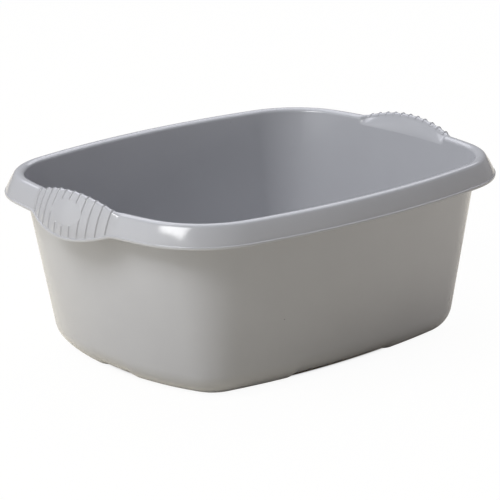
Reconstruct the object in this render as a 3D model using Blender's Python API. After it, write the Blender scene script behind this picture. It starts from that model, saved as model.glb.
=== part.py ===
"""Rectangular washing-up bowl, injection moulded in one piece from grey polypropylene.

The long side lies along X and the grips are at its two ends. Z is up, and the origin is the
middle of the footprint at ground level. The bowl has no moving part. Its single moulding is
modelled as its named regions, each a closed solid that meets its neighbours on flat faces:
four corner feet, the base tray, the side wall, two lengths of rim and two grips.
"""

import math
from collections import namedtuple

import bmesh
import bpy
import numpy as np

Plan = namedtuple("Plan", "length width corner end_bow side_bow")

# Outer face of the wall, carried up to the height of the rim's crest
WALL_TOP = Plan(length=0.3469, width=0.2860, corner=0.0625, end_bow=0.4214, side_bow=0.6061)
# Outer face of the wall, carried down to the ground past the radius of the base's edge
FOOTPRINT = Plan(length=0.3052, width=0.2379, corner=0.0354, end_bow=0.2361, side_bow=0.5651)
CREST_HEIGHT = 0.1507
WALL_THICKNESS = 0.0020

# Base: its rounded outer edge, and four corner feet that leave the middle of each side lifted
EDGE_RADIUS = 0.0248
FOOT_HEIGHT = 0.0022
FOOT_WIDTH = 0.0180
FOOT_INNER_CORNER = 0.0080
FOOT_TIP_THICKNESS = 0.0004
SIDE_RELIEF_LENGTH = 0.0960
END_RELIEF_LENGTH = 0.0300
RELIEF_RAMP = 0.0090

# Rim: a rolled crest, a slightly bowed skirt that slopes outwards, and a lip along its foot
CREST_RADIUS = 0.0052
RIM_OVERHANG = 0.0143
RIM_DEPTH = 0.0177
SKIRT_BOW_RADIUS = 0.0800
LIP_HEIGHT = 0.0026
LIP_THICKNESS = 0.0024
LIP_STEP = 0.0006

# Grip: the rim swells up, outwards and down inside an arch in the middle of each end
GRIP_WIDTH = 0.1000
GRIP_RISE = 0.0086
GRIP_REACH = 0.0074
GRIP_DROP = 0.0096
# The arch's ends ease into the plain rim from a short way inside its width
ARCH_EASE = 0.0041
# All along the grip the inner face flares outwards to a narrower crest, from a little lower
# down, and the skirt bows more
GRIP_FLARE = 0.0054
FLARE_DROP = 0.0012
FLARE_EASE = 0.0089
GRIP_CREST_RADIUS = 0.0026
GRIP_BOW_RADIUS = 0.0609

# Ribs stand on the grip in upright planes, with a shallow flute between each two. The planes
# turn with the end's bow by this share of its turn
RIB_FAN = 0.46
RIB_COUNT = 11
RIB_PITCH = 0.0091
RIB_FOOT_WIDTH = 0.0020
RIB_TOP_WIDTH = 0.0008
RIB_HEIGHT = 0.0007
FLUTE_DEPTH = 0.0002
# The ribs stop short of a bare oval in the middle of the grip, above the middle of its pad
CLEARING_WIDTH = 0.0360
CLEARING_HEIGHT = 0.0198
CLEARING_EDGE = 0.0010
CLEARING_SHARE = 0.46

# Facets: the largest turn between two columns, and the rows along each stretch of a section
COLUMN_TURN = math.radians(5.0)
EDGE_STEPS = 6
WALL_STEPS = 3
CREST_STEPS = 5
SKIRT_STEPS = 3
FOOT_STEPS = 2
END_STEPS = 4
RIB_RISE_SHARES = (0.0, 0.1, 0.6, 0.8, 1.0, 1.0)
PAD_SHARES = (0.15, 0.20, 0.46, 0.70, 0.76, 0.94, 1.0)

POLYPROPYLENE_COLOUR = (0.376, 0.381, 0.407, 1.0)
POLYPROPYLENE_ROUGHNESS = 0.35

BASE_TOP = FOOT_HEIGHT + EDGE_RADIUS
RIM_JOINT = CREST_HEIGHT - CREST_RADIUS - WALL_THICKNESS
RIB_SPAN = (RIB_COUNT - 1) * RIB_PITCH


def grown(plan, distance):
    """The parallel outline that lies a distance outside a plan, or inside it where negative."""
    return Plan(plan.length + 2 * distance, plan.width + 2 * distance, plan.corner + distance,
                plan.end_bow + distance, plan.side_bow + distance)


def corner_centre(plan):
    """Centre of the corner arc in the +X +Y quarter, tangent inside both bowed sides.

    The end's arc is centred on the X axis and the side's arc on the Y axis. The corner's centre
    is where the circles about those two, each less the corner's radius, cross.
    """
    end_x = plan.length / 2 - plan.end_bow
    side_y = plan.width / 2 - plan.side_bow
    end_reach = plan.end_bow - plan.corner
    side_reach = plan.side_bow - plan.corner
    span = math.hypot(end_x, side_y)
    along = (end_reach**2 - side_reach**2 + span**2) / (2 * span)
    across = math.sqrt(end_reach**2 - along**2)
    unit_x = -end_x / span
    unit_y = side_y / span
    return (end_x + along * unit_x - across * unit_y, along * unit_y + across * unit_x)


def corner_turns(plan):
    """Angles of the outward normal at which the corner in the +X +Y quarter starts and ends."""
    x, y = corner_centre(plan)
    start = math.atan2(y, x - (plan.length / 2 - plan.end_bow))
    end = math.atan2(y - (plan.width / 2 - plan.side_bow), x)
    return start, end


def outline(plan, turns):
    """Points of a plan by the angle of its outward normal: an arc's centre plus its radius."""
    cosine, sine = np.cos(turns), np.sin(turns)
    start, end = corner_turns(plan)
    corner_x, corner_y = corner_centre(plan)
    quarter = np.arctan2(np.abs(sine), np.abs(cosine))
    on_end = quarter < start
    on_side = quarter > end
    radius = np.where(on_end, plan.end_bow, np.where(on_side, plan.side_bow, plan.corner))
    centre_x = np.where(on_end, plan.length / 2 - plan.end_bow, np.where(on_side, 0, corner_x))
    centre_y = np.where(on_side, plan.width / 2 - plan.side_bow, np.where(on_end, 0, corner_y))
    x = np.sign(cosine) * centre_x + radius * cosine
    y = np.sign(sine) * centre_y + radius * sine
    return np.stack([x, y], axis=-1)


def normals(turns):
    """Outward unit normals in plan."""
    return np.stack([np.cos(turns), np.sin(turns)], axis=-1)


def lean(turns):
    """How far the wall leans outwards for each unit of height."""
    spread = outline(WALL_TOP, turns) - outline(FOOTPRINT, turns)
    return np.sum(spread * normals(turns), axis=-1) / CREST_HEIGHT


def raised(plan_points, heights):
    """Puts points of a plan at their heights."""
    heights = np.broadcast_to(heights, plan_points.shape[:-1])
    return np.concatenate([plan_points, heights[..., None]], axis=-1)


def wall(turns, heights, depth):
    """Points of the wall at the given heights, a depth inside its outer face.

    The face is ruled: each point lies on the straight line between the two plans' points that
    have the same normal.
    """
    share = (np.broadcast_to(heights, turns.shape) / CREST_HEIGHT)[..., None]
    face = outline(FOOTPRINT, turns) * (1 - share) + outline(WALL_TOP, turns) * share
    inset = depth * np.sqrt(1 + lean(turns)**2)
    return raised(face - inset[..., None] * normals(turns), heights)


def base_edge(turns, lift, depth, tilt):
    """Points of the rounded edge between wall and floor, a depth inside its outer face.

    The edge is an arc about a centre that lies its radius inside the wall and above the floor.
    The tilt is the angle of the normal below the horizontal: the wall's lean at the top, and a
    right angle at the bottom.
    """
    wall_tilt = np.arctan(lean(turns))
    centre_height = EDGE_RADIUS + lift
    touch = wall(turns, centre_height - EDGE_RADIUS * np.sin(wall_tilt), 0)
    inward = EDGE_RADIUS * np.cos(wall_tilt) - (EDGE_RADIUS - depth) * np.cos(tilt)
    plan_points = touch[..., :2] - inward[..., None] * normals(turns)
    return raised(plan_points, centre_height - (EDGE_RADIUS - depth) * np.sin(tilt))


def relief_turns():
    """Normals of the footprint where the corner foot's ramps begin and end, end then side."""
    end_half = END_RELIEF_LENGTH / 2
    side_half = SIDE_RELIEF_LENGTH / 2
    on_end = [math.asin(reach / FOOTPRINT.end_bow) for reach in (end_half, end_half + RELIEF_RAMP)]
    on_side = [math.acos(reach / FOOTPRINT.side_bow)
               for reach in (side_half + RELIEF_RAMP, side_half)]
    return on_end + on_side


def foot_lift(turns):
    """Height of the underside at the base's edge: none at a foot, ramping up to the relief."""
    quarter = np.arctan2(np.abs(np.sin(turns)), np.abs(np.cos(turns)))
    return FOOT_HEIGHT * np.interp(quarter, relief_turns(), (1, 0, 0, 1))


def stretch(stops):
    """Angles from the first stop to the last that keep every stop and turn little at a time."""
    angles = [stops[0]]
    for start, end in zip(stops, stops[1:]):
        steps = max(1, math.ceil((end - start) / COLUMN_TURN))
        angles.extend(start + (end - start) * (step + 1) / steps for step in range(steps))
    return angles


def mirrored_quarter(angles):
    """Carries angles up to a right angle on by their mirror image, to half a turn."""
    return angles + [math.pi - angle for angle in reversed(angles[:-1])]


def full_ring(quarter):
    """All the way round, from angles between zero and a right angle that include both."""
    half = mirrored_quarter(quarter)
    return np.array(half[:-1] + [angle + math.pi for angle in half[:-1]])


def loft(name, sections, ring_closed=True, column_closed=False):
    """Makes one closed solid from a grid of points: columns of section points.

    The points of a section join in a loop where ring_closed is set, and the last column joins
    the first where column_closed is set. Open ends are closed by one flat face each.
    """
    mesh = bmesh.new()
    grid = [[mesh.verts.new(point) for point in section] for section in sections]
    columns = len(grid)
    rows = len(grid[0])
    for column in range(columns if column_closed else columns - 1):
        here = grid[column]
        there = grid[(column + 1) % columns]
        for row in range(rows if ring_closed else rows - 1):
            above = (row + 1) % rows
            mesh.faces.new((here[row], there[row], there[above], here[above]))
    if not column_closed:
        mesh.faces.new(grid[0])
        mesh.faces.new(grid[-1][::-1])
    if not ring_closed:
        mesh.faces.new([section[0] for section in grid])
        mesh.faces.new([section[-1] for section in grid][::-1])
    bmesh.ops.recalc_face_normals(mesh, faces=mesh.faces)
    data = bpy.data.meshes.new(name)
    mesh.to_mesh(data)
    mesh.free()
    data.shade_smooth()
    data.set_sharp_from_angle(angle=math.radians(30.0))
    piece = bpy.data.objects.new(name, data)
    bpy.context.scene.collection.objects.link(piece)
    data.materials.append(polypropylene(name))
    return piece


def polypropylene(name):
    """Satin grey polypropylene, straight from the mould."""
    material = bpy.data.materials.new(name + "_polypropylene")
    material.use_nodes = True
    shader = material.node_tree.nodes["Principled BSDF"]
    shader.inputs["Base Color"].default_value = POLYPROPYLENE_COLOUR
    shader.inputs["Roughness"].default_value = POLYPROPYLENE_ROUGHNESS
    shader.inputs["Metallic"].default_value = 0.0
    return material


def base_tray():
    """The floor with its rounded edge, from the feet's top face up to where the wall begins."""
    stops = sorted([0, *relief_turns(), *corner_turns(FOOTPRINT), math.pi / 2])
    turns = full_ring(stretch(stops))
    lift = foot_lift(turns)
    wall_tilt = np.arctan(lean(turns))
    last_tilt = np.arcsin(1 - (FOOT_HEIGHT - lift) / EDGE_RADIUS)
    outer = [wall(turns, BASE_TOP, 0)]
    inner = [wall(turns, BASE_TOP, WALL_THICKNESS)]
    for step in range(EDGE_STEPS + 1):
        share = step / EDGE_STEPS
        outer.append(base_edge(turns, lift, 0, wall_tilt + (last_tilt - wall_tilt) * share))
        inner_tilt = wall_tilt + (math.pi / 2 - wall_tilt) * share
        inner.append(base_edge(turns, FOOT_HEIGHT, WALL_THICKNESS, inner_tilt))
    sections = np.stack(outer[::-1] + inner, axis=1)
    return loft("base_tray", sections, ring_closed=False, column_closed=True)


def side_wall():
    """The drafted wall between the base's rounded edge and the rim."""
    stops = sorted([0, *corner_turns(FOOTPRINT), *corner_turns(WALL_TOP), math.pi / 2])
    turns = full_ring(stretch(stops))
    heights = np.linspace(BASE_TOP, RIM_JOINT, WALL_STEPS + 1)
    outer = [wall(turns, height, 0) for height in heights]
    inner = [wall(turns, height, WALL_THICKNESS) for height in heights]
    return loft("side_wall", np.stack(outer + inner[::-1], axis=1), column_closed=True)


def corner_foot(name, side_x, side_y):
    """One foot: the lowest slice of the base at a corner, a bent pad with ramped tips."""
    end_low, end_high, side_high, side_low = relief_turns()
    tip = (FOOT_HEIGHT - FOOT_TIP_THICKNESS) / FOOT_HEIGHT
    first = end_high + (end_low - end_high) * tip
    last = side_high + (side_low - side_high) * tip
    start, end = corner_turns(FOOTPRINT)
    turns = np.array(stretch(sorted([first, end_high, start, end, side_high, last])))
    lift = foot_lift(turns)
    top_tilt = np.arcsin(1 - (FOOT_HEIGHT - lift) / EDGE_RADIUS)
    inner_plan = grown(FOOTPRINT, -EDGE_RADIUS - FOOT_WIDTH)._replace(corner=FOOT_INNER_CORNER)
    inner = outline(inner_plan, turns)
    section = [raised(inner, FOOT_HEIGHT)]
    for step in range(FOOT_STEPS + 1):
        tilt = top_tilt + (math.pi / 2 - top_tilt) * step / FOOT_STEPS
        section.append(base_edge(turns, lift, 0, tilt))
    section.append(raised(inner, lift))
    points = np.stack(section, axis=1) * (side_x, side_y, 1)
    return loft(name, points)


def circle_crossing(centre_a, radius_a, centre_b, radius_b):
    """Where two circles cross, on the left of the way from the first centre to the second."""
    way = centre_b - centre_a
    span = np.hypot(way[..., 0], way[..., 1])
    unit = way / span[..., None]
    along = (radius_a**2 - radius_b**2 + span**2) / (2 * span)
    across = np.sqrt(radius_a**2 - along**2)
    left = np.stack([-unit[..., 1], unit[..., 0]], axis=-1)
    return centre_a + along[..., None] * unit + across[..., None] * left


def rim_section(turns, facing, swell, flare, skirt_shares, relief=None):
    """Closed sections of the rim, one for each column, as points in space.

    A section is drawn in an upright plane that faces outwards. Its crest is an arc that starts
    tangent to the wall's inner face, or to a straight flare where the grip swells. The skirt is
    a wider arc, tangent to the crest's and ending at the lip. The underside is parallel to them.
    Swell is the share of the grip's full size, and flare the share of its own section. The
    relief adds ribs and flutes along the outward normal of crest and skirt.
    """
    count = len(turns)
    slope = lean(turns)
    hypotenuse = np.sqrt(1 + slope**2)
    sine = slope / hypotenuse
    crest_radius = CREST_RADIUS + (GRIP_CREST_RADIUS - CREST_RADIUS) * flare
    bow_radius = SKIRT_BOW_RADIUS + (GRIP_BOW_RADIUS - SKIRT_BOW_RADIUS) * flare
    centre_out = crest_radius * (hypotenuse - slope) - WALL_THICKNESS * hypotenuse
    centre = np.stack([centre_out + GRIP_FLARE * flare,
                       CREST_HEIGHT - crest_radius + GRIP_RISE * swell], axis=-1)
    lip_top = np.stack([RIM_OVERHANG - LIP_STEP + GRIP_REACH * swell,
                        CREST_HEIGHT - RIM_DEPTH + LIP_HEIGHT - GRIP_DROP * swell], axis=-1)

    origin = outline(WALL_TOP, turns)
    outward = normals(facing)
    squareness = np.sum(normals(turns) * outward, axis=-1)

    def placed(flat):
        return raised(origin + flat[:, :1] * outward, flat[:, 1])

    def arc(middle, radius, angle):
        return middle + np.stack([radius * np.cos(angle), radius * np.sin(angle)], axis=-1)

    def wall_face(height, depth):
        out = -(slope * (CREST_HEIGHT - height) + depth * hypotenuse) / squareness
        return np.stack([out, np.broadcast_to(height, out.shape)], axis=-1)

    tangent_height = CREST_HEIGHT - CREST_RADIUS * (1 - sine)
    start = wall_face(tangent_height - FLARE_DROP * flare, WALL_THICKNESS)
    from_centre = start - centre
    reach = np.hypot(from_centre[:, 0], from_centre[:, 1])
    bearing = np.mod(np.arctan2(from_centre[:, 1], from_centre[:, 0]), 2 * math.pi)
    first = bearing - np.arccos(np.minimum(1, crest_radius / reach))
    bow_centre = circle_crossing(lip_top, bow_radius, centre, bow_radius - crest_radius)
    to_crest = centre - bow_centre
    second = np.arctan2(to_crest[:, 1], to_crest[:, 0])
    to_lip = lip_top - bow_centre
    third = np.arctan2(to_lip[:, 1], to_lip[:, 0])
    if relief is None:
        relief = np.zeros((CREST_STEPS + 1 + len(skirt_shares), count))
    crest_angles = [first + (second - first) * step / CREST_STEPS
                    for step in range(CREST_STEPS + 1)]
    skirt_angles = [second + (third - second) * share for share in skirt_shares]
    points = [placed(wall_face(RIM_JOINT, WALL_THICKNESS)), placed(start)]
    for row, angle in enumerate(crest_angles[1:], start=1):
        points.append(placed(arc(centre, crest_radius + relief[row], angle)))
    for row, angle in enumerate(skirt_angles, start=CREST_STEPS + 1):
        points.append(placed(arc(bow_centre, bow_radius + relief[row], angle)))

    lip_out = lip_top + (LIP_STEP, 0)
    points.append(placed(lip_out - (0, LIP_STEP)))
    points.append(placed(lip_out - (0, LIP_HEIGHT)))
    points.append(placed(lip_out - (LIP_THICKNESS, LIP_HEIGHT)))

    under_bow = bow_radius - WALL_THICKNESS
    under_crest = crest_radius - WALL_THICKNESS
    for step in range(SKIRT_STEPS, 0, -1):
        angle = second + (third - second) * step / SKIRT_STEPS
        points.append(placed(arc(bow_centre, under_bow, angle)))
    for angle in crest_angles[::-1]:
        points.append(placed(arc(centre, under_crest, angle)))
    wall_facing = math.pi - np.arctan(slope)
    mitre = WALL_THICKNESS / np.cos((wall_facing - first) / 2)
    points.append(placed(arc(start, -mitre, (wall_facing + first) / 2)))
    points.append(placed(wall_face(RIM_JOINT, 0)))
    return np.stack(points, axis=1)


def arch_ends():
    """How far from the middle the arch begins to ease out, and where it ends."""
    half = GRIP_WIDTH / 2
    start = half - ARCH_EASE
    return start, start + (half**2 - start**2) / start


def arch(across):
    """Share of the grip's swelling: a parabola on the grip's width that eases out at its ends."""
    half = GRIP_WIDTH / 2
    start, end = arch_ends()
    away = np.abs(across)
    ease = (half**2 - start**2) / half**2 / (end - start)**2
    return np.where(away < start, 1 - (away / half)**2, ease * np.clip(end - away, 0, None)**2)


def flare_share(across):
    """Share of the grip's own section: full along it, eased to none where the arch ends."""
    share = np.clip((arch_ends()[1] - np.abs(across)) / FLARE_EASE, 0, 1)
    return share**2 * (3 - 2 * share)


def grip_edge_turn():
    """Normal of the wall's top plan where the grip ends and the plain rim begins."""
    return math.asin(arch_ends()[1] / WALL_TOP.end_bow)


def rim_length(name, side_y):
    """The plain rim round one long side and its two corners, from one grip to the other."""
    start, end = corner_turns(WALL_TOP)
    turns = np.array(mirrored_quarter(stretch([grip_edge_turn(), start, end, math.pi / 2])))
    shares = [(step + 1) / SKIRT_STEPS for step in range(SKIRT_STEPS)]
    plain = np.zeros(len(turns))
    sections = rim_section(turns, turns, plain, plain, shares)
    return loft(name, sections * (1, side_y, 1))


def rib_columns():
    """Places across the grip with the height of the relief there: ribs up, flutes down."""
    places = []
    heights = []
    for rib in range(RIB_COUNT):
        middle = rib * RIB_PITCH - RIB_SPAN / 2
        if rib > 0:
            places.append(middle - RIB_PITCH / 2)
            heights.append(-FLUTE_DEPTH)
        places.extend([middle - RIB_FOOT_WIDTH / 2, middle - RIB_TOP_WIDTH / 2])
        places.extend([middle + RIB_TOP_WIDTH / 2, middle + RIB_FOOT_WIDTH / 2])
        heights.extend([0, RIB_HEIGHT, RIB_HEIGHT, 0])
    rib_edge = (RIB_SPAN + RIB_FOOT_WIDTH) / 2
    run = arch_ends()[1] - rib_edge
    ends = [rib_edge + run * (step + 1) / END_STEPS for step in range(END_STEPS)]
    places = [-place for place in reversed(ends)] + places + ends
    plain = [0] * END_STEPS
    return np.array(places), np.array(plain + heights + plain)


def grip(name, side_x):
    """One grip: the swollen rim with its ribs, which fade out at the crest's inner side."""
    across, heights = rib_columns()
    turns = np.arcsin(across / WALL_TOP.end_bow)
    rib_edge = (RIB_SPAN + RIB_FOOT_WIDTH) / 2
    beyond = (np.abs(across) - rib_edge) / (arch_ends()[1] - rib_edge)
    facing = turns * (RIB_FAN + (1 - RIB_FAN) * np.clip(beyond, 0, 1))
    swell = arch(across)
    flare = flare_share(across)
    bare = rim_section(turns, facing, swell, flare, PAD_SHARES)
    surface = bare[:, 1:CREST_STEPS + 2 + len(PAD_SHARES)]
    pad = surface[len(across) // 2, CREST_STEPS:]
    middle = pad[0] + (pad[-1] - pad[0]) * CLEARING_SHARE
    slant = np.linalg.norm(surface[:, :, [0, 2]] - middle[[0, 2]], axis=-1)
    oval = np.hypot(surface[:, :, 1] / CLEARING_WIDTH, slant / CLEARING_HEIGHT) * 2
    clear = np.clip((oval - 1) * CLEARING_HEIGHT / 2 / CLEARING_EDGE, 0, 1)
    shares = np.array(RIB_RISE_SHARES + (1.0,) * len(PAD_SHARES))
    shares[-1] = 0.0
    relief = (heights[:, None] * clear * shares).T
    sections = rim_section(turns, facing, swell, flare, PAD_SHARES, relief)
    return loft(name, sections * (side_x, 1, 1))


def main():
    """Builds every region of the moulding."""
    for item in list(bpy.data.objects):
        bpy.data.objects.remove(item, do_unlink=True)
    base_tray()
    side_wall()
    rim_length("rim_front", -1)
    rim_length("rim_back", 1)
    grip("grip_left", -1)
    grip("grip_right", 1)
    corner_foot("foot_front_left", -1, -1)
    corner_foot("foot_front_right", 1, -1)
    corner_foot("foot_back_left", -1, 1)
    corner_foot("foot_back_right", 1, 1)


main()
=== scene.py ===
import math
from collections import namedtuple

import bmesh
import bpy
import numpy as np
from mathutils import Matrix, Vector


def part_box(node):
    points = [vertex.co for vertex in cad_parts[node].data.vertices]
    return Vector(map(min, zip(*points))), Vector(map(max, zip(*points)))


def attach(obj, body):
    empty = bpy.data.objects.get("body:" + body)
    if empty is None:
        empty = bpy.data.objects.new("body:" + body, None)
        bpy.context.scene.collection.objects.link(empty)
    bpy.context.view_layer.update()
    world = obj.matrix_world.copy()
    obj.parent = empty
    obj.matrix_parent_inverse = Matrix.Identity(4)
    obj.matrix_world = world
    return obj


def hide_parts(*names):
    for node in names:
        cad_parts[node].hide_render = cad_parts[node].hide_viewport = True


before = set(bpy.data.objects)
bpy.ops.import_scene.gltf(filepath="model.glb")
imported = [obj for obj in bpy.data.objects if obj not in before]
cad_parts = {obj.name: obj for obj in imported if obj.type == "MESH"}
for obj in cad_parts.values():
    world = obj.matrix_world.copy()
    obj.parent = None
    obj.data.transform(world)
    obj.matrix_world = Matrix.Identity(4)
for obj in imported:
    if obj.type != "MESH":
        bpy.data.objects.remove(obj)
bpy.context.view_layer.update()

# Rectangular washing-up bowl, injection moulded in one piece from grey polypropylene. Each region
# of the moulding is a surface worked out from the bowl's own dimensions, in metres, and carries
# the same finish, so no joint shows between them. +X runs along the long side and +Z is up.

Plan = namedtuple("Plan", "length width corner end_bow side_bow")

# A crest's top height, its outer arc's radius, how far its inner ellipse reaches inwards and drops,
# and how far outside the wall's top the middle of both lies
Crest = namedtuple("Crest", "top radius reach drop out")

# Outer face of the wall, carried up to the height of the rim's crest and down to the ground
WALL_TOP = Plan(length=0.3469, width=0.2860, corner=0.0625, end_bow=0.4214, side_bow=0.6061)
FOOTPRINT = Plan(length=0.3052, width=0.2379, corner=0.0354, end_bow=0.2361, side_bow=0.5651)
CREST_HEIGHT = 0.1507
WALL_THICKNESS = 0.0020

# Base, with its rounded outer edge, and the four feet that leave the middle of each side lifted
EDGE_RADIUS = 0.0248
FOOT_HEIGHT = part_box("base_tray")[0].z
FOOT_WIDTH = 0.0180
FOOT_INNER_CORNER = 0.0080
FOOT_EDGE_EASE = 0.0007
SIDE_RELIEF_LENGTH = 0.0960
END_RELIEF_LENGTH = 0.0300
RELIEF_RAMP = 0.0090

# Rim: the crest, the skirt that slopes outwards from it, and the lip along the skirt's foot
CREST_RADIUS = 0.0052
CREST_DROP = 0.0030
RIM_OVERHANG = 0.0143
RIM_DEPTH = 0.0177
SKIRT_BOW_RADIUS = 0.0800
LIP_HEIGHT = 0.0025
LIP_THICKNESS = 0.0024
LIP_STEP = 0.0008
LIP_DROP = 0.0002
LIP_EASE = 0.0002
LIP_SHOULDER_EASE = 0.0006
LIP_FOOT_EASE = 0.0008

# Grip: the rim swells up, outwards and down inside an arch that eases out at its ends
GRIP_WIDTH = 0.1000
GRIP_RISE = 0.0083
GRIP_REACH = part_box("grip_right")[1].x - WALL_TOP.length / 2 - RIM_OVERHANG
GRIP_DROP = 0.0096
ARCH_EASE = 0.0041
GRIP_FLARE = 0.0054
FLARE_EASE = 0.0089
GRIP_CREST_RADIUS = 0.0026
GRIP_BOW_RADIUS = 0.0609
# Inside, the grip's face leans out from the wall's by this power of the share of its height
FLARE_POWER = 1.5

# Ribs on the grip, the flutes between them, and the bare oval where the ribs stop short
RIB_COUNT = 11
RIB_FAN = 0.46
RIB_PITCH = 0.0091
RIB_FOOT_WIDTH = 0.0017
RIB_HEIGHT = 0.0009
FLUTE_DEPTH = 0.0002
CLEARING_WIDTH = 0.0360
CLEARING_HEIGHT = 0.0198
CLEARING_EDGE = 0.0012
CLEARING_SHARE = 0.46
RIB_FOOT_FADE = 0.0010
# The ribs rise from the crest's inner foot within this part of its turn. Over the crest they are
# lower by this share, and they have their full height from where its outer side faces this angle.
RIB_RISE_TURN = math.radians(45)
CREST_RIB_LOSS = 0.20
RIB_FULL_ANGLE = math.radians(60)
RIB_SPAN = (RIB_COUNT - 1) * RIB_PITCH

# Flat cuts where the regions of the moulding meet
BASE_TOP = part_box("side_wall")[0].z
RIM_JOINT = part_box("side_wall")[1].z

# The fold above which an edge is shaded sharp, and how finely the surfaces are drawn
SHARP_ANGLE = math.radians(40)
COLUMN_TURN = math.radians(1.5)
GRIP_COLUMN = 0.00022
RAMP_COLUMNS = 12
EDGE_ROWS = 24
WALL_ROWS = 16
FLOOR_ROWS = 14
CREST_ROWS = 20
PLAIN_SKIRT_ROWS = 24
GRIP_SKIRT_ROWS = 72
EASE_ROWS = 5
FLARE_ROWS = 10


def grown(plan, distance):
    """The parallel outline that lies a distance outside a plan, or inside it where negative."""
    return Plan(plan.length + 2 * distance, plan.width + 2 * distance, plan.corner + distance,
                plan.end_bow + distance, plan.side_bow + distance)


def corner_centre(plan):
    """Where the circles about the end's and the side's centres, less the corner's radius, cross."""
    end_x = plan.length / 2 - plan.end_bow
    side_y = plan.width / 2 - plan.side_bow
    end_reach = plan.end_bow - plan.corner
    side_reach = plan.side_bow - plan.corner
    span = math.hypot(end_x, side_y)
    along = (end_reach**2 - side_reach**2 + span**2) / (2 * span)
    across = math.sqrt(end_reach**2 - along**2)
    unit_x, unit_y = -end_x / span, side_y / span
    return end_x + along * unit_x - across * unit_y, along * unit_y + across * unit_x


def corner_turns(plan):
    """Angles of the outward normal at which the corner in the +X +Y quarter starts and ends."""
    x, y = corner_centre(plan)
    return (math.atan2(y, x - (plan.length / 2 - plan.end_bow)),
            math.atan2(y - (plan.width / 2 - plan.side_bow), x))


def outline(plan, turns):
    """Points of a plan by the angle of its outward normal: an arc's centre plus its radius."""
    cosine, sine = np.cos(turns), np.sin(turns)
    start, end = corner_turns(plan)
    corner_x, corner_y = corner_centre(plan)
    quarter = np.arctan2(np.abs(sine), np.abs(cosine))
    on_end, on_side = quarter < start, quarter > end
    radius = np.where(on_end, plan.end_bow, np.where(on_side, plan.side_bow, plan.corner))
    centre_x = np.where(on_end, plan.length / 2 - plan.end_bow, np.where(on_side, 0, corner_x))
    centre_y = np.where(on_side, plan.width / 2 - plan.side_bow, np.where(on_end, 0, corner_y))
    return np.stack([np.sign(cosine) * centre_x + radius * cosine,
                     np.sign(sine) * centre_y + radius * sine], axis=-1)


def normals(turns):
    """Outward unit normals in plan."""
    return np.stack([np.cos(turns), np.sin(turns)], axis=-1)


def eased(share):
    """A share from none to one with level ends: three times its square less twice its cube."""
    share = np.clip(share, 0, 1)
    return share**2 * (3 - 2 * share)


def lean(turns):
    """How far the wall leans outwards for each unit of height."""
    spread = outline(WALL_TOP, turns) - outline(FOOTPRINT, turns)
    return np.sum(spread * normals(turns), axis=-1) / CREST_HEIGHT


def raised(plan_points, heights):
    """Puts points of a plan at their heights."""
    heights = np.broadcast_to(heights, plan_points.shape[:-1])
    return np.concatenate([plan_points, heights[..., None]], axis=-1)


def wall(turns, heights, depth):
    """Points a depth inside the wall's outer face, which is ruled from footprint to wall top."""
    share = (np.broadcast_to(heights, turns.shape) / CREST_HEIGHT)[..., None]
    face = outline(FOOTPRINT, turns) * (1 - share) + outline(WALL_TOP, turns) * share
    inset = depth * np.sqrt(1 + lean(turns)**2)
    return raised(face - inset[..., None] * normals(turns), heights)


def base_edge(turns, lift, depth, tilt):
    """Points of the base's rounded edge: an arc about a centre that lies its radius inside the
    wall and above the floor, where the tilt is the normal's angle below the horizontal."""
    wall_tilt = np.arctan(lean(turns))
    centre_height = EDGE_RADIUS + lift
    touch = wall(turns, centre_height - EDGE_RADIUS * np.sin(wall_tilt), 0)
    inward = EDGE_RADIUS * np.cos(wall_tilt) - (EDGE_RADIUS - depth) * np.cos(tilt)
    plan_points = touch[..., :2] - inward[..., None] * normals(turns)
    return raised(plan_points, centre_height - (EDGE_RADIUS - depth) * np.sin(tilt))


def relief_turns():
    """Normals of the footprint where a foot's ramps begin and end, first its end, then its side."""
    ends = END_RELIEF_LENGTH / 2 + np.array([0, RELIEF_RAMP])
    sides = SIDE_RELIEF_LENGTH / 2 + np.array([RELIEF_RAMP, 0])
    return [*np.arcsin(ends / FOOTPRINT.end_bow), *np.arccos(sides / FOOTPRINT.side_bow)]


def foot_lift(turns):
    """Height of the underside at the base's edge: none at a foot, rising smoothly to the relief."""
    quarter = np.arctan2(np.abs(np.sin(turns)), np.abs(np.cos(turns)))
    return FOOT_HEIGHT * eased(np.interp(quarter, relief_turns(), (1, 0, 0, 1)))


def stretch(stops):
    """Angles from the first stop to the last that keep every stop and turn little at a time."""
    pieces = [np.linspace(start, end, max(2, math.ceil((end - start) / COLUMN_TURN)) + 1)[:-1]
              for start, end in zip(stops, stops[1:])]
    return np.concatenate([*pieces, stops[-1:]])


def full_ring(quarter):
    """All the way round, from angles between zero and a right angle, mirrored twice."""
    half = np.concatenate([quarter, math.pi - quarter[-2::-1]])[:-1]
    return np.concatenate([half, half + math.pi])


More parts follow.
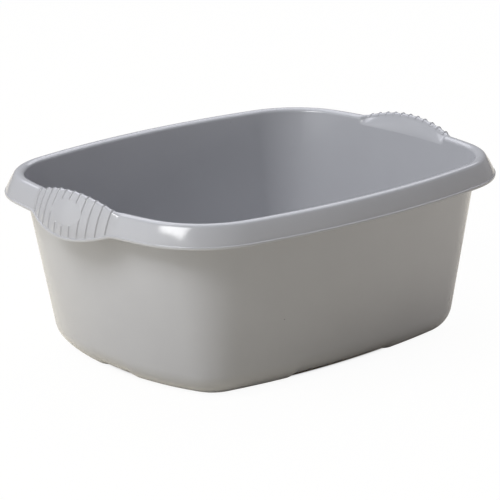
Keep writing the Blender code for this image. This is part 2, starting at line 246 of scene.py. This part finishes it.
def surface(name, grid, rows_closed=True, columns_closed=False):
    """Makes one closed piece from a grid of points, indexed by column and row.

    Each cell of the grid is one four-sided face. Where the columns or the rows don't close on
    themselves, the first and the last of them are filled by one flat face each.
    """
    columns, rows = grid.shape[:2]
    index = np.arange(columns * rows).reshape(columns, rows)
    around = np.concatenate([index, index[:1]]) if columns_closed else index
    around = np.concatenate([around, around[:, :1]], axis=1) if rows_closed else around
    cells = np.stack([around[:-1, :-1], around[1:, :-1], around[1:, 1:], around[:-1, 1:]], axis=-1)
    faces = cells.reshape(-1, 4).tolist()
    if not columns_closed:
        faces += [index[0].tolist(), index[-1, ::-1].tolist()]
    if not rows_closed:
        faces += [index[:, 0].tolist(), index[::-1, -1].tolist()]
    mesh = bpy.data.meshes.new(name)
    mesh.from_pydata(grid.reshape(-1, 3).tolist(), [], faces)
    shape = bmesh.new()
    shape.from_mesh(mesh)
    bmesh.ops.recalc_face_normals(shape, faces=shape.faces)
    shape.to_mesh(mesh)
    shape.free()
    mesh.shade_smooth()
    mesh.set_sharp_from_angle(angle=SHARP_ANGLE)
    piece = bpy.data.objects.new(name, mesh)
    bpy.context.scene.collection.objects.link(piece)
    return piece


def base_shape():
    """Floor and rounded edge: rings from the middle of the underside out round the edge's arc,
    up to the cut below the wall, and back down inside to the middle of the floor."""
    ramps = relief_turns()
    stops = sorted([0, *np.linspace(*ramps[:2], RAMP_COLUMNS), *np.linspace(*ramps[2:], RAMP_COLUMNS),
                    *corner_turns(FOOTPRINT), math.pi / 2])
    turns = full_ring(stretch(np.array(stops)))
    lift = foot_lift(turns)
    wall_tilt = np.arctan(lean(turns))
    last_tilt = np.arcsin(1 - (FOOT_HEIGHT - lift) / EDGE_RADIUS)
    shares = np.linspace(0, 1, EDGE_ROWS + 1)[:, None]
    outer = [base_edge(turns, lift, 0, tilt) for tilt in last_tilt + (wall_tilt - last_tilt) * shares]
    inner = [base_edge(turns, FOOT_HEIGHT, WALL_THICKNESS, tilt)
             for tilt in wall_tilt + (math.pi / 2 - wall_tilt) * shares]
    inwards = np.linspace(1, 0, FLOOR_ROWS + 1)[1:-1]
    underside = [outer[0] * (share, share, 1) for share in inwards[::-1]]
    floor = [inner[-1] * (share, share, 1) for share in inwards]
    top = [wall(turns, BASE_TOP, depth) for depth in (0, WALL_THICKNESS)]
    return surface("base_moulding", np.stack(underside + outer + top + inner + floor, axis=1),
                   rows_closed=False, columns_closed=True)


def foot_shape(name, side_x, side_y):
    """One foot: the lowest slice of the edge's arc, a flat underside and an eased inner edge."""
    ramps = relief_turns()
    span = np.array(sorted([*np.linspace(*ramps[:2], RAMP_COLUMNS)[1:], *corner_turns(FOOTPRINT),
                            *np.linspace(*ramps[2:], RAMP_COLUMNS)[:-1]]))
    turns = stretch(span)
    lift = foot_lift(turns)
    top_tilt = np.arcsin(1 - (FOOT_HEIGHT - lift) / EDGE_RADIUS)
    inner_plan = grown(FOOTPRINT, -EDGE_RADIUS - FOOT_WIDTH)._replace(corner=FOOT_INNER_CORNER)
    inner = outline(inner_plan, turns)
    ease = np.minimum(FOOT_EDGE_EASE, (FOOT_HEIGHT - lift) / 2)
    quarter_turn = np.linspace(0, math.pi / 2, EASE_ROWS)[:, None]
    out = ease * (1 - np.cos(quarter_turn))
    up = ease * (1 - np.sin(quarter_turn))
    inner_edge = [raised(inner + outward[:, None] * normals(turns), lift + height)
                  for outward, height in zip(out, up)]
    arc = [base_edge(turns, lift, 0, top_tilt + (math.pi / 2 - top_tilt) * share)
           for share in np.linspace(0, 1, EDGE_ROWS // 2)]
    grid = np.stack([raised(inner, FOOT_HEIGHT), *arc, *inner_edge[::-1]], axis=1)
    return surface(name, grid * (side_x, side_y, 1))


def wall_shape():
    """The drafted wall: straight lines from the cut above the base to the cut below the rim."""
    stops = sorted([0, *corner_turns(FOOTPRINT), *corner_turns(WALL_TOP), math.pi / 2])
    turns = full_ring(stretch(np.array(stops)))
    heights = np.linspace(BASE_TOP, RIM_JOINT, WALL_ROWS + 1)
    outer = [wall(turns, height, 0) for height in heights]
    inner = [wall(turns, height, WALL_THICKNESS) for height in heights[::-1]]
    return surface("wall_moulding", np.stack(outer + inner, axis=1), columns_closed=True)


def arc(centre, radius, angles):
    """Points of circles about their centres, by the angle from straight outwards towards up."""
    spokes = np.stack([np.cos(angles), np.sin(angles)], axis=-1)
    return centre + np.broadcast_to(radius, angles.shape)[..., None] * spokes


def circle_crossing(centre_a, radius_a, centre_b, radius_b):
    """Where two circles cross, on the left of the way from the first centre to the second."""
    way = centre_b - centre_a
    span = np.hypot(way[:, 0], way[:, 1])
    unit = way / span[:, None]
    along = (radius_a**2 - radius_b**2 + span**2) / (2 * span)
    across = np.sqrt(radius_a**2 - along**2)
    left = np.stack([-unit[:, 1], unit[:, 0]], axis=-1)
    return centre_a + along[:, None] * unit + across[:, None] * left


def rounded(before, corner, after, reach):
    """A corner eased by a quadratic curve between two points that lie a reach away from it."""
    def towards(point):
        way = point - corner
        return corner + way * (reach / np.hypot(way[:, 0], way[:, 1]))[:, None]
    share = np.linspace(0, 1, EASE_ROWS)[:, None, None]
    return ((1 - share)**2 * towards(before) + 2 * share * (1 - share) * corner
            + share**2 * towards(after))


def crest_measures(slope, swell, flare):
    """The crest's measures along the rim, where they pass from the plain rim's to the grip's."""
    hypotenuse = np.sqrt(1 + slope**2)
    radius = CREST_RADIUS + (GRIP_CREST_RADIUS - CREST_RADIUS) * flare
    reach = radius * (hypotenuse - slope)
    return Crest(top=CREST_HEIGHT + GRIP_RISE * swell, radius=radius, reach=reach,
                 drop=CREST_DROP + (GRIP_CREST_RADIUS - CREST_DROP) * flare,
                 out=reach - WALL_THICKNESS * hypotenuse + GRIP_FLARE * flare)


def upright_section(slope, squareness, top, flare, end, depth):
    """The wall's face from the cut up to an end height, at a depth inside its outer side. By a
    power of the share of that height it passes from the plain wall to the grip's flared one."""
    risen = np.linspace(0, 1, FLARE_ROWS + 1)[:, None]
    heights = RIM_JOINT + (end - RIM_JOINT) * risen
    inset = depth * np.sqrt(1 + slope**2)
    wall_out = -(slope * (CREST_HEIGHT - heights) + inset) / squareness
    flared_out = GRIP_FLARE * flare - slope * (top - heights) - inset
    return np.stack([wall_out + (flared_out - wall_out) * risen**FLARE_POWER, heights], axis=-1)


def crest_section(crest, slope, skirt_start, relief):
    """The crest from its inner foot to the skirt: a quarter of an ellipse that leans like the wall
    and ends on top, and then an arc. The relief lies on both and fades in from the inner foot."""
    share = np.linspace(0, 1, CREST_ROWS // 2 + 1)[1:, None]
    angles = np.concatenate([math.pi / 2 * (2 - share) * np.ones_like(slope),
                             math.pi / 2 + (skirt_start - math.pi / 2) * share])
    height_share = (eased((math.pi - angles) / RIB_RISE_TURN)
                    * (1 - CREST_RIB_LOSS * eased((angles - RIB_FULL_ANGLE) / RIB_RISE_TURN)))
    swollen = relief * height_share
    on_inside = np.arange(CREST_ROWS)[:, None] < CREST_ROWS // 2
    across = np.where(on_inside, crest.reach, crest.radius) + swollen
    drop = np.where(on_inside, crest.drop, crest.radius)
    below_top = -drop + (drop + swollen) * np.sin(angles)
    lean_back = slope * np.minimum(below_top, 0) * on_inside
    return np.stack([crest.out + across * np.cos(angles) + lean_back, crest.top + below_top], axis=-1)


def lip_section(skirt_end, lip_top, under_foot):
    """The lip, from the step at its top down its outer face, under its foot and up to the
    skirt's underside, with each corner eased."""
    shoulder = lip_top + (LIP_STEP, -LIP_DROP)
    toe = shoulder - (0, LIP_HEIGHT - LIP_DROP)
    heel = toe - (LIP_THICKNESS, 0)
    return np.concatenate([rounded(skirt_end, lip_top, shoulder, LIP_EASE)[1:],
                           rounded(lip_top, shoulder, toe, LIP_SHOULDER_EASE),
                           rounded(shoulder, toe, heel, LIP_FOOT_EASE),
                           rounded(toe, heel, under_foot, LIP_FOOT_EASE)])


def rim_grid(turns, facing, swell, flare, skirt_rows, relief=0.0):
    """The rim's closed sections, indexed by column and row, and where crest and skirt lie in them.

    A section stands in an upright plane that faces outwards. It goes up the wall's inner face and
    over the crest into the skirt, which is a wider arc tangent to the crest's, and round the lip.
    The underside runs back parallel to the arcs and down the wall's outer face.
    """
    slope = lean(turns)
    outward = normals(facing)
    squareness = np.sum(normals(turns) * outward, axis=-1)
    crest = crest_measures(slope, swell, flare)
    crest_centre = np.stack([crest.out, crest.top - crest.radius], axis=-1)
    lip_top = np.stack([RIM_OVERHANG - LIP_STEP + GRIP_REACH * swell,
                        CREST_HEIGHT - RIM_DEPTH + LIP_HEIGHT - GRIP_DROP * swell], axis=-1)
    bow = SKIRT_BOW_RADIUS + (GRIP_BOW_RADIUS - SKIRT_BOW_RADIUS) * flare
    bow_centre = circle_crossing(lip_top, bow, crest_centre, bow - crest.radius)
    skirt_start = np.arctan2(*(crest_centre - bow_centre).T[::-1])
    skirt_end = np.arctan2(*(lip_top - bow_centre).T[::-1])
    relief = relief + np.zeros((CREST_ROWS + skirt_rows, len(turns)))

    inner = upright_section(slope, squareness, crest.top, flare, crest.top - crest.drop,
                            WALL_THICKNESS)
    over = crest_section(crest, slope, skirt_start, relief[:CREST_ROWS])
    down = np.linspace(0, 1, skirt_rows + 1)[1:, None]
    skirt = arc(bow_centre, bow + relief[CREST_ROWS:],
                skirt_start + (skirt_end + LIP_EASE / bow - skirt_start) * down)
    lip = lip_section(skirt[-1], lip_top, arc(bow_centre, bow - WALL_THICKNESS, skirt_end))

    back = np.linspace(1, 0, PLAIN_SKIRT_ROWS // 2)[:, None]
    wall_turn = math.pi - np.arctan(slope)
    under_radius = crest.radius - WALL_THICKNESS
    under_skirt = arc(bow_centre, bow - WALL_THICKNESS, skirt_start + (skirt_end - skirt_start) * back)
    under_crest = arc(crest_centre, under_radius,
                      skirt_start + (wall_turn - skirt_start) * (1 - back)[1:])
    under_end = crest.top - crest.radius + under_radius * np.sin(wall_turn)
    outer = upright_section(slope, squareness, crest.top, flare, under_end, 0)[-2::-1]

    flat = np.concatenate([inner, over, skirt, lip, under_skirt, under_crest, outer])
    plan_points = outline(WALL_TOP, turns) + flat[..., :1] * outward
    points = raised(plan_points, flat[..., 1]).transpose(1, 0, 2)
    return points, slice(len(inner), len(inner) + CREST_ROWS + skirt_rows)


def arch_ends():
    """How far from the middle the arch begins to ease out, and where it ends."""
    half = GRIP_WIDTH / 2
    start = half - ARCH_EASE
    return start, start + (half**2 - start**2) / start


def arch(across):
    """Share of the grip's swelling: a parabola on the grip's width that eases out at its ends."""
    half = GRIP_WIDTH / 2
    start, end = arch_ends()
    away = np.abs(across)
    ease = (half**2 - start**2) / half**2 / (end - start)**2
    return np.where(away < start, 1 - (away / half)**2, ease * np.clip(end - away, 0, None)**2)


def rim_shape(name, side_y):
    """The plain rim round one long side and its two corners, from one grip to the other."""
    edge = math.asin(arch_ends()[1] / WALL_TOP.end_bow)
    quarter = stretch(np.array([edge, *corner_turns(WALL_TOP), math.pi / 2]))
    turns = np.concatenate([quarter, math.pi - quarter[-2::-1]])
    grid, _ = rim_grid(turns, turns, np.zeros(len(turns)), np.zeros(len(turns)), PLAIN_SKIRT_ROWS)
    return surface(name, grid * (1, side_y, 1))


def rib_relief(across):
    """Height of the relief across the grip: a rib is a squared cosine across its foot, and the
    flute between two ribs a shallow squared sine."""
    rib = np.clip(np.round((across + RIB_SPAN / 2) / RIB_PITCH), 0, RIB_COUNT - 1)
    away = np.abs(across - (rib * RIB_PITCH - RIB_SPAN / 2))
    ridge = np.cos(math.pi / 2 * np.clip(away / (RIB_FOOT_WIDTH / 2), 0, 1))**2
    between = np.clip((away - RIB_FOOT_WIDTH / 2) / ((RIB_PITCH - RIB_FOOT_WIDTH) / 2), 0, 1)
    inside = np.abs(across) < RIB_SPAN / 2
    return RIB_HEIGHT * ridge - FLUTE_DEPTH * np.sin(math.pi / 2 * between)**2 * inside


def grip_shape(name, side_x):
    """One grip: the swollen rim, with relief that fades over the crest, round the bare oval and
    just above the lip."""
    edge = arch_ends()[1]
    across = np.linspace(-edge, edge, 2 * round(edge / GRIP_COLUMN) + 1)
    turns = np.arcsin(across / WALL_TOP.end_bow)
    rib_edge = (RIB_SPAN + RIB_FOOT_WIDTH) / 2
    beyond = np.clip((np.abs(across) - rib_edge) / (edge - rib_edge), 0, 1)
    facing = turns * (RIB_FAN + (1 - RIB_FAN) * beyond)
    swell = arch(across)
    flare = eased((edge - np.abs(across)) / FLARE_EASE)
    bare, stretch_of = rim_grid(turns, facing, swell, flare, GRIP_SKIRT_ROWS)
    pad = bare[:, stretch_of]
    column = pad[len(across) // 2, CREST_ROWS - 1:]
    middle = column[0] + (column[-1] - column[0]) * CLEARING_SHARE
    slant = np.linalg.norm(pad[:, :, [0, 2]] - middle[[0, 2]], axis=-1)
    oval = np.hypot(pad[:, :, 1] / CLEARING_WIDTH, slant / CLEARING_HEIGHT) * 2
    clear = eased((oval - 1) * CLEARING_HEIGHT / 2 / CLEARING_EDGE)
    above_lip = np.linalg.norm(pad - pad[:, -1:], axis=-1)
    relief = rib_relief(across)[:, None] * clear * eased(above_lip / RIB_FOOT_FADE)
    grid, _ = rim_grid(turns, facing, swell, flare, GRIP_SKIRT_ROWS, relief.T)
    return surface(name, grid * (side_x, 1, 1))


def linear(colour):
    """Linear value of an sRGB hex colour, channel by channel, with full alpha."""
    channels = [int(colour[place:place + 2], 16) / 255 for place in (1, 3, 5)]
    return [c / 12.92 if c <= 0.04045 else ((c + 0.055) / 1.055)**2.4 for c in channels] + [1.0]


def add(tree, kind, values=None, links=None, **settings):
    """Adds a node to a tree with its settings, its inputs' values and the links that reach it."""
    node = tree.nodes.new(kind)
    for key, value in settings.items():
        setattr(node, key, value)
    for key, value in (values or {}).items():
        node.inputs[key].default_value = value
    for key, source in (links or {}).items():
        tree.links.new(source, node.inputs[key])
    return node


# Finish of the polypropylene: its two greys and how far apart the melt's flow varies, the roughness
# that goes with each, the mould's slight orange peel, and the specks. Those lie so far apart in
# the resin that only a few of them show on the surface.
POLYPROPYLENE_GREYS = ("#a3a4a9", "#a8a9ae")
FLOW_SPACING = 0.045
SATIN_ROUGHNESS = (0.13, 0.18)
PEEL_SPACING = 0.003
PEEL_DEPTH = 0.00004
PEEL_STRENGTH = 0.2
SPECK_COLOUR = "#5e5d5c"
SPECK_SPACING = 0.040
SPECK_RADIUS = 0.0005
POLYPROPYLENE_IOR = 1.49


def moulded_polypropylene():
    """Injection-moulded grey polypropylene. The mould's fine satin gives it a soft gloss, with a
    slight unevenness where the melt flowed and cooled, and a few dark specks in the resin."""
    material = bpy.data.materials.new("moulded_grey_polypropylene")
    material.use_nodes = True
    tree = material.node_tree
    shader = tree.nodes["Principled BSDF"]
    place = add(tree, "ShaderNodeTexCoord").outputs["Object"]
    flow = add(tree, "ShaderNodeTexNoise", {"Scale": 1 / FLOW_SPACING, "Detail": 3.0},
               {"Vector": place})
    first_grey, second_grey = POLYPROPYLENE_GREYS
    grey = add(tree, "ShaderNodeMix", {"A": linear(first_grey), "B": linear(second_grey)},
               {"Factor": flow.outputs["Fac"]}, data_type="RGBA")
    cells = add(tree, "ShaderNodeTexVoronoi", {"Scale": 1 / SPECK_SPACING}, {"Vector": place})
    speck = add(tree, "ShaderNodeMath", {1: SPECK_RADIUS / SPECK_SPACING},
                {0: cells.outputs["Distance"]}, operation="LESS_THAN")
    colour = add(tree, "ShaderNodeMix", {"B": linear(SPECK_COLOUR)},
                 {"Factor": speck.outputs[0], "A": grey.outputs["Result"]}, data_type="RGBA")
    tree.links.new(colour.outputs["Result"], shader.inputs["Base Color"])
    smoothest, roughest = SATIN_ROUGHNESS
    sheen = add(tree, "ShaderNodeMapRange", {"To Min": smoothest, "To Max": roughest},
                {"Value": flow.outputs["Fac"]})
    tree.links.new(sheen.outputs["Result"], shader.inputs["Roughness"])
    peel = add(tree, "ShaderNodeTexNoise", {"Scale": 1 / PEEL_SPACING, "Detail": 2.0},
               {"Vector": place})
    bump = add(tree, "ShaderNodeBump", {"Strength": PEEL_STRENGTH, "Distance": PEEL_DEPTH},
               {"Height": peel.outputs["Fac"]})
    tree.links.new(bump.outputs["Normal"], shader.inputs["Normal"])
    shader.inputs["IOR"].default_value = POLYPROPYLENE_IOR
    return material


def dress(piece, finish, *nodes):
    """Gives a piece its finish, and lets it ride on the bowl and stand for its CAD nodes."""
    piece.data.materials.append(finish)
    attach(piece, "root")
    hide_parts(*nodes)


polypropylene = moulded_polypropylene()
dress(base_shape(), polypropylene, "base_tray")
dress(wall_shape(), polypropylene, "side_wall")
for side, side_y in (("front", -1), ("back", 1)):
    dress(rim_shape("rim_moulding_" + side, side_y), polypropylene, "rim_" + side)
    for end, side_x in (("left", -1), ("right", 1)):
        foot = foot_shape("foot_moulding_" + side + "_" + end, side_x, side_y)
        dress(foot, polypropylene, "foot_" + side + "_" + end)
for end, side_x in (("left", -1), ("right", 1)):
    dress(grip_shape("grip_moulding_" + end, side_x), polypropylene, "grip_" + end)

# Camera, at the photograph's viewing angle
CAMERA_AZIMUTH = math.radians(-39.58)
CAMERA_ELEVATION = math.radians(16.47)
CAMERA_ROLL = math.radians(-1.29)
CAMERA_TARGET = Vector((0.01287, 0.01936, 0.06771))
CAMERA_DISTANCE = 2.2522
IMAGE_WIDTH = 500
FOCAL_PIXELS = 2687.5

# Table: its colour in the open, the dark brown contact shadow painted into it under the bowl, the
# distances of its rings from the line where the bowl's edge meets it, and how plainly white each
# ring shows, the last being its wide rim
TABLE_COLOUR = "#f6f0e0"
PAINTED_CONTACT_SHADE = "#7a5638"
FLOOR_COLUMNS = 360
FLOOR_RADIUS = 6.0
FLOOR_DISTANCES = (-0.0100, 0.0058, 0.0070, 0.0090, 0.0140, 0.0300, 0.1200)
FLOOR_OPENNESS = (0.0, 0.0, 0.60, 0.92, 0.96, 0.97, 0.98, 0.99)

# The studio's dim fill as light, and the grey that it shows in reflections
WORLD_FILL = 0.05
REFLECTED_WHITE = 0.4

# Lamps hang this far from a point in the middle of the bowl
LAMP_AIM = Vector((0, 0, 0.08))
LAMP_DISTANCE = 2.0


def place_camera():
    """Aims the camera at its target from its azimuth and elevation, and rolls it a little."""
    camera = bpy.data.objects.new("camera", bpy.data.cameras.new("camera"))
    bpy.context.scene.collection.objects.link(camera)
    bpy.context.scene.camera = camera
    back = Vector((math.sin(CAMERA_AZIMUTH) * math.cos(CAMERA_ELEVATION),
                   -math.cos(CAMERA_AZIMUTH) * math.cos(CAMERA_ELEVATION),
                   math.sin(CAMERA_ELEVATION)))
    right = (-back).cross(Vector((0, 0, 1))).normalized()
    turn = Matrix((right, back.cross(right), back)).transposed().to_4x4()
    camera.matrix_world = (Matrix.Translation(CAMERA_TARGET + back * CAMERA_DISTANCE) @ turn
                           @ Matrix.Rotation(CAMERA_ROLL, 4, "Z"))
    camera.data.lens = camera.data.sensor_width * FOCAL_PIXELS / IMAGE_WIDTH
    camera.data.clip_end = CAMERA_DISTANCE + 2 * FLOOR_RADIUS


def light_world():
    """An even surround: white to the camera, paler grey in reflections, and a dim fill as light."""
    world = bpy.data.worlds.new("studio")
    world.use_nodes = True
    bpy.context.scene.world = world
    tree = world.node_tree
    path = add(tree, "ShaderNodeLightPath")
    mirrored = add(tree, "ShaderNodeMath", {}, {0: path.outputs["Is Glossy Ray"],
                                                1: path.outputs["Is Transmission Ray"]},
                   operation="MAXIMUM")
    glow = add(tree, "ShaderNodeMapRange", {"To Min": WORLD_FILL, "To Max": REFLECTED_WHITE},
               {"Value": mirrored.outputs[0]})
    shown = add(tree, "ShaderNodeMath", {}, {0: glow.outputs["Result"],
                                             1: path.outputs["Is Camera Ray"]},
                operation="MAXIMUM")
    background = tree.nodes["Background"]
    tree.links.new(shown.outputs[0], background.inputs["Strength"])
    background.inputs["Color"].default_value = (1, 1, 1, 1)


def white_table():
    """White matt laminate, a little warm. Away from the bowl it is shown nearly as plain white,
    as an overlit table is. Under the bowl it is left to its own shade, and a dark brown shade is
    painted into its colour there and just round it. That painted shade shows as a thin contact
    shadow line along the bowl's edge and browns the light bounced from there onto the base."""
    material = bpy.data.materials.new("warm_white_laminate")
    material.use_nodes = True
    tree = material.node_tree
    tree.nodes.remove(tree.nodes["Principled BSDF"])
    open_share = add(tree, "ShaderNodeAttribute", attribute_name="openness")
    # Painted shade: where openness is low, near and under the bowl, the table's colour turns to the
    # dark brown of a contact shadow
    shade = add(tree, "ShaderNodeMix", {"A": linear(PAINTED_CONTACT_SHADE), "B": linear(TABLE_COLOUR)},
                {"Factor": open_share.outputs["Fac"]}, data_type="RGBA")
    matt = add(tree, "ShaderNodeBsdfDiffuse", {}, {"Color": shade.outputs["Result"]})
    white = add(tree, "ShaderNodeEmission", {"Strength": 1.0})
    path = add(tree, "ShaderNodeLightPath")
    share = add(tree, "ShaderNodeMath", {}, {0: path.outputs["Is Camera Ray"],
                                             1: open_share.outputs["Fac"]}, operation="MULTIPLY")
    mix = add(tree, "ShaderNodeMixShader", {}, {0: share.outputs[0], 1: matt.outputs[0],
                                                2: white.outputs[0]})
    tree.links.new(mix.outputs[0], tree.nodes["Material Output"].inputs["Surface"])
    return material


def lay_floor():
    """The table: rings at growing distances from the line where the bowl's edge meets it, each
    with its openness, out to a wide circle."""
    contact = grown(FOOTPRINT, -EDGE_RADIUS)
    turns = np.linspace(0, 2 * math.pi, FLOOR_COLUMNS, endpoint=False)
    rings = [outline(contact, turns) + distance * normals(turns) for distance in FLOOR_DISTANCES]
    rings.append(FLOOR_RADIUS * normals(turns))
    grid = raised(np.stack(rings), 0.0)
    index = np.arange(grid.shape[0] * grid.shape[1]).reshape(grid.shape[:2])
    beside = np.roll(index, -1, axis=1)
    cells = np.stack([index[:-1], index[1:], beside[1:], beside[:-1]], axis=-1)
    mesh = bpy.data.meshes.new("table")
    mesh.from_pydata(grid.reshape(-1, 3).tolist(), [],
                     cells.reshape(-1, 4).tolist() + [index[0].tolist()])
    openness = mesh.attributes.new("openness", "FLOAT", "POINT")
    openness.data.foreach_set("value", np.repeat(FLOOR_OPENNESS, FLOOR_COLUMNS).astype(np.float32))
    table = bpy.data.objects.new("table", mesh)
    bpy.context.scene.collection.objects.link(table)
    mesh.materials.append(white_table())


def hang_softbox(name, azimuth, elevation, size, power, colour=(1, 1, 1), roll=0, mirrored=True):
    """A rectangular lamp aimed at the bowl's middle, its azimuth counted in degrees from +X. One
    that isn't mirrored is a fill so soft that no reflection of it can be made out."""
    lamp = bpy.data.objects.new(name, bpy.data.lights.new(name, "AREA"))
    bpy.context.scene.collection.objects.link(lamp)
    lamp.data.shape = "RECTANGLE"
    lamp.data.size, lamp.data.size_y = size
    lamp.data.energy = power
    lamp.data.color = colour
    lamp.visible_glossy = mirrored
    azimuth, elevation = math.radians(azimuth), math.radians(elevation)
    way = Vector((math.cos(elevation) * math.cos(azimuth), math.cos(elevation) * math.sin(azimuth),
                  math.sin(elevation)))
    lamp.location = LAMP_AIM + way * LAMP_DISTANCE
    lamp.rotation_euler = (way.to_track_quat("Z", "Y").to_matrix()
                           @ Matrix.Rotation(math.radians(roll), 3, "Z")).to_euler()


place_camera()
light_world()
lay_floor()
# The key shines into the bowl over the left grip and shows as the highlight on the near corner. The
# back lamp lights crest and inside from above, and the two low ones light the outer walls.
hang_softbox("key_softbox", 183.6, 45.0, (1.0, 0.68), 27.8, roll=-3)
hang_softbox("back_softbox", 54, 57, (2.6, 2.0), 40, colour=(0.93, 0.94, 1.0))
hang_softbox("low_left_softbox", 168, 24, (3.2, 1.4), 13.4, colour=(0.97, 0.99, 1.0))
hang_softbox("low_right_softbox", 332, 6, (1.0, 0.7), 9.8, colour=(1.0, 0.95, 0.95), mirrored=False)
bpy.context.scene.view_settings.view_transform = "Standard"
